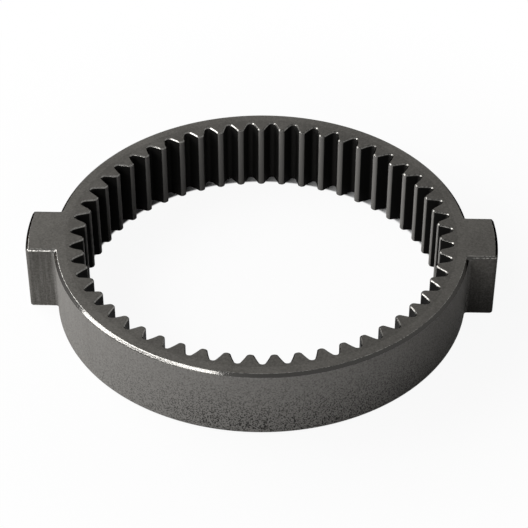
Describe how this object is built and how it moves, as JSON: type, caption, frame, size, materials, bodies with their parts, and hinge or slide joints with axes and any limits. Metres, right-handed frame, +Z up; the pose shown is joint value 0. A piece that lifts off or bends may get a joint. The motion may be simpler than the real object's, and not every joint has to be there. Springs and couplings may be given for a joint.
{
  "type": "internal ring gear",
  "caption": "Sintered steel ring gear with straight internal teeth, a plain outer wall and opposite square lugs that key it into a housing around planet gears.",
  "frame": {"origin": "on the gear's axis, in the plane of the bottom face that the part stands on", "axes": "+Z up along the gear's axis, +X through the middle of the lug that a tooth points at, +Y across the lugs"},
  "size_m": [0.0984, 0.0868, 0.0154],
  "materials": {
    "sintered_steel": "oiled sintered steel, satin dark grey, fine pores, edges worn bright"
  },
  "bodies": {
    "root": {"ring_gear": "sintered_steel"}
  },
  "joints": []
}
